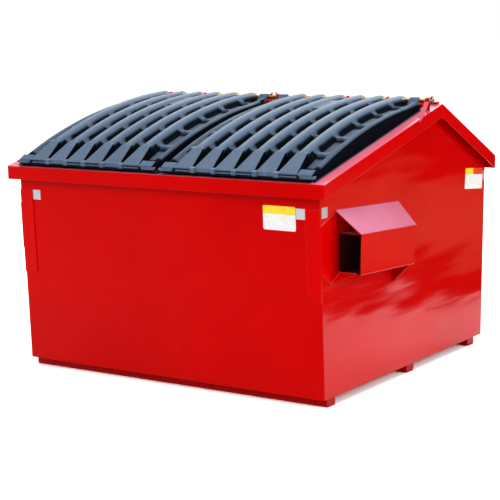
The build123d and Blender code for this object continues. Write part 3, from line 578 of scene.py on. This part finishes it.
# Steps of the skin's mesh: closer where its form turns
RIB_STEPS = (0, 7, 14, 20, 24.5, 28, 28.6, 31.5, 35, 39, 43, 47, 50.5, 53.5, 56.5, 59.4)
SKIRT_STEPS, RIM_STEPS_FROM, RIM_STEP = (4, 8, 13), 18, 6.0
EDGE_STEPS = [SKIRT_HALF - 1.2, SKIRT_HALF, SKIRT_HALF + 0.3, SKIRT_HALF + 2.0,
              LID_HALF - 2.4, LID_HALF - 1.6, LID_HALF - 0.3]
LIP_STEPS = (0, 0.3, 3, 8)
WEB_STEPS = (-30, -14, -5, -3, -1, 1, 5)
PAD_STEPS = (PAD_START - 6, PAD_START - 3, PAD_START, PAD_END, PAD_END + 4, PAD_END + 8)
MARGIN_STEPS, TAIL_STEPS = (7, 3, 1, 0), (14, 10, 6.5, 4, 2, 0.8, 0)
ROWS = ((32.0, 70.0, 3.0), (75.0, 204.0, 5.0), (210.0, LID_END - 16.0, 15.0))
LEAST_ACROSS, LEAST_ALONG = 0.5, 0.6


def thinned(values, least):
    """The values in order, without those that lie too close behind the one before."""
    kept = []
    for value in sorted(values):
        if not kept or value - kept[-1] > least:
            kept.append(value)
    return kept


def stations():
    """Places of the mesh's columns across the lid and of its rows along it."""
    across = [step - SKIRT_HALF for step in SKIRT_STEPS]
    across += list(np.arange(RIM_STEPS_FROM - SKIRT_HALF, -RIB_ZONE - 4, RIM_STEP))
    across += [-RIB_ZONE, -NOTCH_EDGE]
    across += [-place for place in across]
    for rib in RIBS:
        for step in RIB_STEPS:
            across += [rib + step, rib - step]
    along = [LIP_PLACE + step for step in LIP_STEPS]
    for start, end, step in ROWS:
        along += list(np.arange(start, end, step))
    along += [web + step for web in WEBS for step in WEB_STEPS]
    along += [*PAD_STEPS, NOTCH_START]
    along += [MARGIN_END - step for step in MARGIN_STEPS]
    along += [LID_END - step for step in TAIL_STEPS]
    columns = [-place for place in EDGE_STEPS[::-1]] + thinned(across, LEAST_ACROSS) + EDGE_STEPS
    return np.array(columns), np.array(thinned(along, LEAST_ALONG))


PLATE_STEP = 28.0


def follow_plates(across, along):
    """Slides the columns over the ramps sideways, so that they run along the plates' slanting edges."""
    index = np.argmin(np.abs(across[..., None] - np.array(RIBS)), axis=-1)
    offset = across - np.array(RIBS)[index]
    size = np.abs(offset)
    half = RIB_PITCH / 2
    flat, down = plate_half(along)
    start, end = PLATE_STEP, PLATE_STEP + PLATE_EDGE_END
    edge = flat + PLATE_EDGE_END
    moved = np.where(size <= start, flat * size / start,
                     np.where(size <= end, flat + size - start,
                              edge + (half - edge) * (size - end) / (half - end)))
    share = ease(down, 0.0, 0.02)
    size = np.where(size < half + 0.01, size + (moved - size) * share, size)
    return np.where(np.abs(across) <= RIB_ZONE, np.array(RIBS)[index] + np.sign(offset) * size, across)


def lid_end(across, hinge_side):
    """Where the skin ends up the slope: at the ribs' tails, the margins or the notch beside the middle."""
    end = np.where(np.abs(across) <= RIB_ZONE + 0.1, LID_END, MARGIN_END)
    return np.where(across * hinge_side <= -NOTCH_EDGE + 0.1, NOTCH_START, end)


# The skin's edges: rounded sides with a flange outside them, noses on the ribs' tails, and the front edge
SIDE_ROUNDING, SIDE_DROP, SIDE_LEAST = 9.0, 7.0, 7.0
NOSE_LENGTH, NOSE_FOOT = 14.0, 5.0
FRONT_LOW, FRONT_HIGH, FLANGE_HEIGHT = 19.0, 33.0, 4.7
# Painted shade on the rounded sides next to the skirt, none on the flange's outer edge
SIDE_SHADE, SIDE_SHADE_EDGE, FLANGE_UNSHADED_EDGE = 0.93, 3.0, 1.8


def lid_mesh(side):
    """Vertices, faces and painted-shade depths of one lid's outer surface, before it gets its thickness."""
    across, along = stations()
    grid_u, grid_s = np.meshgrid(across, along)
    grid_u = follow_plates(grid_u, grid_s)
    top, depth = lid_skin(grid_u, grid_s)
    edge = np.clip((SKIRT_HALF - np.abs(grid_u)) / SIDE_ROUNDING, 0.0, 1.0)
    top = np.maximum(top - SIDE_DROP * (1.0 - np.sqrt(1.0 - (1.0 - edge) ** 2)), SIDE_LEAST)
    tail = np.clip((grid_s - (lid_end(grid_u, side) - NOSE_LENGTH)) / NOSE_LENGTH, 0.0, 1.0)
    nose = np.sqrt(np.clip(1.0 - tail ** 2, 0.0, 1.0))
    top = np.where(grid_s > MARGIN_END + 1, NOSE_FOOT + (top - NOSE_FOOT) * nose, top)
    index = np.argmin(np.abs(across[:, None] - np.array(RIBS)), axis=-1)
    without_strip = (index == 1) | (index == 4) | (np.abs(across) > RIB_ZONE)
    top[0] = np.where(without_strip, FRONT_LOW, FRONT_HIGH)
    top = np.where(np.abs(grid_u) > SKIRT_HALF + 0.1, FLANGE_HEIGHT, top)
    depth = np.where(np.abs(grid_u) > SKIRT_HALF - SIDE_SHADE_EDGE, SIDE_SHADE, depth)
    depth = np.where(np.abs(grid_u) > LID_HALF - FLANGE_UNSHADED_EDGE, 0.0, depth)
    vertices = [on_slope(side * LID_CENTRE + u, s, h)
                for u, s, h in zip(grid_u.ravel(), grid_s.ravel(), top.ravel())]
    rows, columns = top.shape
    middle_u = (across[1:] + across[:-1]) / 2
    middle_s = (along[1:] + along[:-1]) / 2
    ends = lid_end(middle_u, side)
    faces = []
    for i in range(rows - 1):
        for j in range(columns - 1):
            if middle_s[i] < ends[j]:
                first, above = i * columns + j, (i + 1) * columns + j
                faces.append((first, first + 1, above + 1, above))
    return vertices, faces, depth.ravel()


# What the modelled pieces share
ROUND_SIDES = 40
SMOOTH_SKIN, SMOOTH_KNUCKLE, SMOOTH_BLOCK, SMOOTH_WELD = 34, 32, 35, 60


def apply_all(made):
    bpy.context.view_layer.objects.active = made
    made.select_set(True)
    for modifier in list(made.modifiers):
        bpy.ops.object.modifier_apply(modifier=modifier.name)
    made.select_set(False)


def smooth(made, angle):
    bpy.context.view_layer.objects.active = made
    made.select_set(True)
    bpy.ops.object.shade_smooth_by_angle(angle=math.radians(angle))
    made.select_set(False)


def combine(made, other, operation):
    """Cuts another object out of the first, or fuses it with it, and deletes the other."""
    modifier = made.modifiers.new("combine", "BOOLEAN")
    modifier.operation = operation
    modifier.solver = "EXACT"
    modifier.object = other
    apply_all(made)
    bpy.data.objects.remove(other, do_unlink=True)


def rod_cutter(start, end, radius):
    """A throwaway cylinder about the hinge axis, between two X places in millimetres."""
    bpy.ops.mesh.primitive_cylinder_add(vertices=ROUND_SIDES, radius=radius * MM, depth=abs(end - start) * MM)
    cutter = bpy.context.active_object
    middle = on_slope((start + end) / 2, AXIS_ALONG, AXIS_ABOVE)
    turn = Vector((0, 0, 1)).rotation_difference(Vector((1, 0, 0))).to_matrix().to_4x4()
    for vertex in cutter.data.vertices:
        vertex.co = (turn @ vertex.co) + Vector(middle)
    cutter.select_set(False)
    return cutter


def lay_on_slope(made, across, along, above):
    """Turns an object modelled level onto the front slope, its middle at a place in millimetres."""
    made.rotation_euler = (SLOPE, 0.0, 0.0)
    made.location = on_slope(across, along, above)
    bpy.ops.object.transform_apply(location=True, rotation=True, scale=True)


def join_as(name, made, material, body, angle):
    """Joins objects to one named piece that rides a body."""
    bpy.ops.object.select_all(action="DESELECT")
    for thing in made:
        thing.select_set(True)
    bpy.context.view_layer.objects.active = made[0]
    if len(made) > 1:
        bpy.ops.object.join()
    whole = bpy.context.active_object
    whole.select_set(False)
    whole.name = name
    whole.data.name = name
    whole.data.materials.clear()
    whole.data.materials.append(material)
    smooth(whole, angle)
    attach(whole, body)


# The lids' skins
# Painted shade on the inside surfaces, and the share above which a face takes the darker, duller copy of the
# plastic
INNER_FLANGE_DEPTH, INNER_DEPTH, SHADE_LIMIT = 0.9, 0.30, 0.5
ROD_GROOVE, GROOVE_OVERRUN = 10.5, 8.0


def make_skin(side, word):
    """A lid's outer surface thickened inwards, with a groove for the hinge rod through its ribs' tails."""
    vertices, faces, depth = lid_mesh(side)
    name = word + "_lid_skin"
    mesh = bpy.data.meshes.new(name)
    mesh.from_pydata(vertices, [], faces)
    values = mesh.attributes.new("depth", "FLOAT", "POINT")
    values.data.foreach_set("value", depth.astype(np.float32))
    form = bmesh.new()
    form.from_mesh(mesh)
    bmesh.ops.delete(form, geom=[v for v in form.verts if not v.link_faces], context="VERTS")
    form.normal_update()
    if sum(f.normal.z for f in form.faces) < 0:
        bmesh.ops.reverse_faces(form, faces=form.faces)
    form.to_mesh(mesh)
    form.free()
    skin = bpy.data.objects.new(name, mesh)
    scene.collection.objects.link(skin)
    mesh.materials.append(plastic)
    shell = skin.modifiers.new("shell", "SOLIDIFY")
    shell.thickness = SKIN * MM
    shell.offset = -1.0
    inner_from = len(mesh.vertices)
    apply_all(skin)
    values = skin.data.attributes["depth"].data
    for index in range(inner_from, len(values)):
        reach = abs(skin.data.vertices[index].co.x / MM - side * LID_CENTRE)
        values[index].value = INNER_FLANGE_DEPTH if reach > SKIRT_HALF else INNER_DEPTH
    middle, groove = side * LID_CENTRE, RIB_ZONE + GROOVE_OVERRUN
    combine(skin, rod_cutter(middle - groove, middle + groove, ROD_GROOVE), "DIFFERENCE")
    # Faces deep in painted shade take the darker copy of the plastic
    skin.data.materials.append(shade_painted_plastic)
    values = skin.data.attributes["depth"].data
    for face in skin.data.polygons:
        total = sum(values[v].value for v in face.vertices)
        face.material_index = int(total > SHADE_LIMIT * len(face.vertices))
    smooth(skin, SMOOTH_SKIN)
    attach(skin, word + "_lid")
    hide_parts(word + "_lid")


# Hinge barrels on arms that grow out of the lids' margins
KNUCKLE_RADIUS, KNUCKLE_HALF, KNUCKLE_ROUNDING, KNUCKLE_INSET = 13.8, 24.8, 2.2, 51.0
ARM_ROOT, ARM_TIP, ARM_HEIGHT, ARM_ABOVE = MARGIN_END - 12.0, AXIS_ALONG - 4.0, 21.0, 27.5
BORE_RADIUS, BORE_OVERRUN = 8.3, 40.0


def knuckle(across):
    """A hinge barrel with its arm, bored for the rod."""
    bpy.ops.object.select_all(action="DESELECT")
    bpy.ops.mesh.primitive_cylinder_add(vertices=ROUND_SIDES, radius=KNUCKLE_RADIUS * MM,
                                        depth=2 * KNUCKLE_HALF * MM, rotation=(0.0, math.pi / 2, 0.0))
    barrel = bpy.context.active_object
    bpy.ops.object.transform_apply(rotation=True)
    rounding = barrel.modifiers.new("rounding", "BEVEL")
    rounding.width = KNUCKLE_ROUNDING * MM
    rounding.segments = 2
    apply_all(barrel)
    barrel.select_set(True)
    lay_on_slope(barrel, across, AXIS_ALONG, AXIS_ABOVE)
    bpy.ops.object.select_all(action="DESELECT")
    bpy.ops.mesh.primitive_cube_add(size=1.0)
    arm = bpy.context.active_object
    arm.scale = (2 * KNUCKLE_HALF * MM, (ARM_TIP - ARM_ROOT) * MM, ARM_HEIGHT * MM)
    bpy.ops.object.transform_apply(scale=True)
    bpy.ops.object.mode_set(mode="EDIT")
    bpy.ops.mesh.select_all(action="DESELECT")
    bpy.ops.mesh.select_mode(type="VERT")
    bpy.ops.object.mode_set(mode="OBJECT")
    for vertex in arm.data.vertices:
        vertex.select = vertex.co.y > 0
    bpy.ops.object.mode_set(mode="EDIT")
    bpy.ops.transform.translate(value=(0.0, 0.0, (AXIS_ABOVE - ARM_ABOVE) * MM))
    bpy.ops.mesh.select_all(action="SELECT")
    bpy.ops.mesh.bevel(offset=KNUCKLE_ROUNDING * MM, segments=2, profile=0.5, affect="EDGES")
    bpy.ops.object.mode_set(mode="OBJECT")
    lay_on_slope(arm, across, (ARM_ROOT + ARM_TIP) / 2, ARM_ABOVE)
    combine(barrel, arm, "UNION")
    combine(barrel, rod_cutter(across - BORE_OVERRUN, across + BORE_OVERRUN, BORE_RADIUS), "DIFFERENCE")
    return barrel


def knuckles(side, word):
    """The right lid has a barrel at both ends of its hinge side, the left lid only the inner one."""
    ways = (-1, 1) if side > 0 else (1,)
    barrels = [knuckle(side * LID_CENTRE + way * (LID_HALF - KNUCKLE_INSET)) for way in ways]
    join_as(word + "_lid_knuckles", barrels, plastic, word + "_lid", SMOOTH_KNUCKLE)


# The front lip and skirt: blocks by their low and high corners across, along and above the slope
FOOT_HALF, FOOT_FRONT, FOOT_BACK, FOOT_LOW, FOOT_HIGH = 13.0, -8.0, 18.0, 16.0, 40.0
STRIP_HALF, STRIP_FRONT, STRIP_BACK, STRIP_LOW, STRIP_HIGH = 47.0, -1.0, 12.0, 18.0, 24.5
RIBS_WITH_STRIPS = (0, 2, 3, 5)
CORNER_START, CORNER_FRONT, CORNER_BACK, CORNER_LOW, CORNER_HIGH = 366.0, -4.0, 14.0, 16.0, 27.0
CORNER_INSET = 1.5
FRONT_SKIRT = [((-430.0, 33.0, 0.8), (430.0, 37.0, 34.0))]
LIP_ROUNDING, SKIRT_ROUNDING = 1.4, 1.0


def add_block(side, low, high, rounding):
    """A cube shaped and bevelled in place between two corners."""
    bpy.ops.object.select_all(action="DESELECT")
    bpy.ops.mesh.primitive_cube_add(size=1.0)
    made = bpy.context.active_object
    made.scale = [(b - a) * MM for a, b in zip(low, high)]
    bpy.ops.object.transform_apply(scale=True)
    bpy.ops.object.mode_set(mode="EDIT")
    bpy.ops.mesh.select_all(action="SELECT")
    bpy.ops.mesh.bevel(offset=rounding * MM, segments=3, profile=0.5, affect="EDGES")
    bpy.ops.object.mode_set(mode="OBJECT")
    middle = [(a + b) / 2 for a, b in zip(low, high)]
    lay_on_slope(made, side * LID_CENTRE + middle[0], middle[1], middle[2])
    return made


def lip_blocks():
    """Feet at the valleys' ends, strips under four of the ramps, and corner feet."""
    boxes = []
    for first, second in zip(RIBS, RIBS[1:]):
        valley = (first + second) / 2
        boxes.append(((valley - FOOT_HALF, LIP_PLACE + FOOT_FRONT, FOOT_LOW),
                      (valley + FOOT_HALF, LIP_PLACE + FOOT_BACK, FOOT_HIGH)))
    for rib in [RIBS[index] for index in RIBS_WITH_STRIPS]:
        boxes.append(((rib - STRIP_HALF, LIP_PLACE + STRIP_FRONT, STRIP_LOW),
                      (rib + STRIP_HALF, LIP_PLACE + STRIP_BACK, STRIP_HIGH)))
    for way in (-1, 1):
        left, right = sorted((way * CORNER_START, way * (LID_HALF - CORNER_INSET)))
        boxes.append(((left, LIP_PLACE + CORNER_FRONT, CORNER_LOW),
                      (right, LIP_PLACE + CORNER_BACK, CORNER_HIGH)))
    return boxes


def blocks(name, boxes, side, word, rounding, material):
    made = [add_block(side, low, high, rounding) for low, high in boxes]
    join_as(name, made, material, word + "_lid", SMOOTH_BLOCK)


for side, word in ((1, "right"), (-1, "left")):
    make_skin(side, word)
    knuckles(side, word)
    blocks(word + "_lid_front_lip", lip_blocks(), side, word, LIP_ROUNDING, plastic)
    blocks(word + "_lid_front_skirt", FRONT_SKIRT, side, word, SKIRT_ROUNDING, skirt_plastic)


# Weld beads on the fork pockets, in metres. Places are out of the wall, back from the sleeve's mouth and up
# from its floor, as if the pocket were level. A bead has its two ends and its radius
ON_WALL, ON_PLATE, ON_ROOF_LIP = 0.001, 0.0065, 0.116
ROOF_FOOT, ROOF_OVERHANG, LIP_TOP, LIP_SHORT = 0.305, 0.038, 0.198, 0.010
LEAD_LENGTH, LEAD_DROP, LEAD_REACH = 0.070, 0.037, 0.086
GUSSET_DROP, GUSSET_REACH, GUSSET_PLACE = 0.090, 0.100, POCKET_LENGTH + 0.007
HAIR = 0.001
SLEEVE_END = POCKET_LENGTH - HAIR
BEADS = [
    ((ON_WALL, 0.004, 0.0), (ON_WALL, POCKET_LENGTH, 0.0), 0.0032),
    ((ON_WALL, POCKET_LENGTH + HAIR, 0.0), (ON_WALL, POCKET_LENGTH + HAIR, POCKET_HEIGHT), 0.0032),
    ((ON_WALL, -ROOF_OVERHANG, ROOF_FOOT), (ON_WALL, POCKET_LENGTH + ROOF_OVERHANG, ROOF_FOOT), 0.0034),
    ((ON_ROOF_LIP, LIP_SHORT, LIP_TOP), (ON_ROOF_LIP, POCKET_LENGTH - LIP_SHORT, LIP_TOP), 0.0022),
    ((ON_PLATE, 0.0, 0.0075), (ON_PLATE, -LEAD_LENGTH, -LEAD_DROP), 0.0028),
    ((ON_PLATE, -HAIR, 0.0065), (ON_PLATE + LEAD_REACH, -HAIR, 0.0065), 0.0026),
    ((ON_WALL, GUSSET_PLACE, -HAIR), (ON_WALL, GUSSET_PLACE, -GUSSET_DROP), 0.0028),
    ((ON_WALL, SLEEVE_END, -2 * HAIR), (ON_WALL + GUSSET_REACH, SLEEVE_END, -2 * HAIR), 0.0026),
]
BLOB_RADIUS, BLOB_SHAPE = 0.0055, (1.0, 0.85, 0.8)
BLOBS = [(ON_PLATE + HAIR, 0.0, 0.008), (ON_PLATE + LEAD_REACH + HAIR, -HAIR, 0.006),
         (ON_PLATE, -LEAD_LENGTH, -LEAD_DROP - HAIR)]
RIPPLE_STEP_SHARE, LEAST_RIPPLES = 1.15, 3


def weld_place(side, out, back, up):
    """A point at a fork pocket, turned with the pocket's tilt about its lower front edge."""
    return (side * (HALF_WIDTH + out), PIVOT_Y + back * math.cos(TILT) + up * math.sin(TILT),
            PIVOT_Z - back * math.sin(TILT) + up * math.cos(TILT))


def bead(start, end, radius):
    """A weld bead: one ripple repeated along a straight run."""
    start, end = Vector(start), Vector(end)
    along = end - start
    bpy.ops.object.select_all(action="DESELECT")
    bpy.ops.mesh.primitive_uv_sphere_add(segments=8, ring_count=5, radius=radius)
    made = bpy.context.active_object
    step = radius * RIPPLE_STEP_SHARE
    ripples = made.modifiers.new("ripples", "ARRAY")
    ripples.use_relative_offset = False
    ripples.use_constant_offset = True
    ripples.constant_offset_displace = (0.0, 0.0, step)
    ripples.count = max(LEAST_RIPPLES, int(along.length / step))
    apply_all(made)
    made.rotation_euler = along.to_track_quat("Z", "Y").to_euler()
    made.location = start
    made.select_set(True)
    bpy.ops.object.transform_apply(location=True, rotation=True, scale=True)
    return made


def blob(place):
    """The lump where a weld was started or stopped."""
    bpy.ops.object.select_all(action="DESELECT")
    bpy.ops.mesh.primitive_ico_sphere_add(subdivisions=2, radius=BLOB_RADIUS, location=place)
    made = bpy.context.active_object
    made.scale = BLOB_SHAPE
    bpy.ops.object.transform_apply(location=True, rotation=True, scale=True)
    return made


for side, word in ((1, "right"), (-1, "left")):
    welds = [bead(weld_place(side, *start), weld_place(side, *end), radius) for start, end, radius in BEADS]
    welds += [blob(weld_place(side, *place)) for place in BLOBS]
    join_as(word + "_pocket_welds", welds, weld_paint, "container", SMOOTH_WELD)


# The stage: a pale floor, a plain white surround, a dark card for the side wall to mirror, and soft light
FLOOR_REACH = 60.0
FLOOR_LIT, FLOOR_MIRRORED, FLOOR_SEEN = (0.80, 0.80, 0.80, 1), (1.15, 1.15, 1.15, 1), (1.75, 1.75, 1.75, 1)
CARD_LEFT, CARD_RIGHT, CARD_HEIGHT = (0.2, 4.07), (5.0, -2.03), 3.0
CARD_DARK, CARD_WARM, CARD_WARMER = (0.012, 0.010, 0.010, 1), (0.42, 0.27, 0.13, 1), (0.75, 0.50, 0.30, 1)
SURROUND, SURROUND_STRENGTH = (0.96, 0.98, 1.0, 1), 0.62


def stage_plane(name, corners, material):
    mesh = bpy.data.meshes.new(name)
    mesh.from_pydata(corners, [], [(0, 1, 2, 3)])
    mesh.materials.append(material)
    made = bpy.data.objects.new(name, mesh)
    scene.collection.objects.link(made)
    return made


def floor_finish():
    """Matt floor that is brighter in mirrors and to the eye than in the light it gives back."""
    material, tree, shader = new_material("floor")
    tree.nodes.remove(shader)
    path = node(tree, "ShaderNodeLightPath").outputs
    pale = mix(tree, path["Is Glossy Ray"], FLOOR_LIT, FLOOR_MIRRORED)
    seen = maths(tree, "MAXIMUM", path["Is Camera Ray"], path["Is Transmission Ray"])
    pale = mix(tree, seen, pale, FLOOR_SEEN)
    matt = node(tree, "ShaderNodeBsdfDiffuse", {"Color": pale})
    tree.links.new(matt.outputs[0], tree.nodes["Material Output"].inputs["Surface"])
    return material


def card_finish():
    """Dark card with a warm, patchy band low down."""
    material, tree, shader = new_material("dark_card")
    waver = span(tree, object_noise(tree, 0.7, 3.0), 0.3, 0.7, -0.16, 0.16)
    height = maths(tree, "ADD", height_of(tree), waver)
    warm = maths(tree, "MULTIPLY", span(tree, height, 0.10, 0.20), span(tree, height, 0.80, 0.62))
    patchy = mix(tree, span(tree, object_noise(tree, 0.9, 3.0), 0.35, 0.65), CARD_WARM, CARD_WARMER)
    tree.links.new(mix(tree, warm, CARD_DARK, patchy), shader.inputs["Base Color"])
    shader.inputs["Roughness"].default_value = 1.0
    shader.inputs["Specular IOR Level"].default_value = 0.0
    return material


stage_plane("floor", [(-FLOOR_REACH, -FLOOR_REACH, 0), (FLOOR_REACH, -FLOOR_REACH, 0),
                      (FLOOR_REACH, FLOOR_REACH, 0), (-FLOOR_REACH, FLOOR_REACH, 0)], floor_finish())
card = stage_plane("dark_card", [(*CARD_LEFT, 0.0), (*CARD_RIGHT, 0.0), (*CARD_RIGHT, CARD_HEIGHT),
                                 (*CARD_LEFT, CARD_HEIGHT)], card_finish())
card.visible_camera = False
card.visible_diffuse = False
card.visible_shadow = False
card.visible_transmission = False

world = bpy.data.worlds.new("surround")
scene.world = world
world.use_nodes = True
tree = world.node_tree
tree.nodes.clear()
path = node(tree, "ShaderNodeLightPath").outputs
seen = maths(tree, "MAXIMUM", path["Is Camera Ray"], path["Is Glossy Ray"])
seen = maths(tree, "MAXIMUM", seen, path["Is Transmission Ray"])
light = node(tree, "ShaderNodeBackground", {"Color": SURROUND, "Strength": SURROUND_STRENGTH})
white = node(tree, "ShaderNodeBackground", {"Color": (1, 1, 1, 1), "Strength": 1.0})
blend = node(tree, "ShaderNodeMixShader", {0: seen, 1: light.outputs[0], 2: white.outputs[0]})
node(tree, "ShaderNodeOutputWorld", {"Surface": blend.outputs[0]})


def panel(name, place, target, size, power, colour=(1, 1, 1)):
    """A rectangular lamp that faces a target; sizes in metres, power in watts."""
    data = bpy.data.lights.new(name, "AREA")
    data.shape = "RECTANGLE"
    data.size, data.size_y = size
    data.energy = power
    data.color = colour
    lamp = bpy.data.objects.new(name, data)
    scene.collection.objects.link(lamp)
    lamp.location = place
    lamp.rotation_euler = (Vector(target) - Vector(place)).to_track_quat("-Z", "Y").to_euler()
    lamp.visible_camera = False


panel("key", place=(1.5, -7.5, 6.0), target=(0.0, 0.0, 0.8), size=(5.0, 4.0), power=290.0)
panel("sky", place=(-2.5, 7.0, 6.8), target=(0.0, 0.0, 1.2), size=(11.0, 6.0), power=540.0,
      colour=(0.90, 0.95, 1.0))
panel("top", place=(1.0, -1.0, 7.5), target=(0.0, 0.0, 1.2), size=(6.0, 6.0), power=110.0)
panel("side", place=(7.5, 0.5, 3.5), target=(0.0, 0.0, 0.8), size=(4.0, 3.0), power=210.0)

scene.view_settings.view_transform = "Standard"
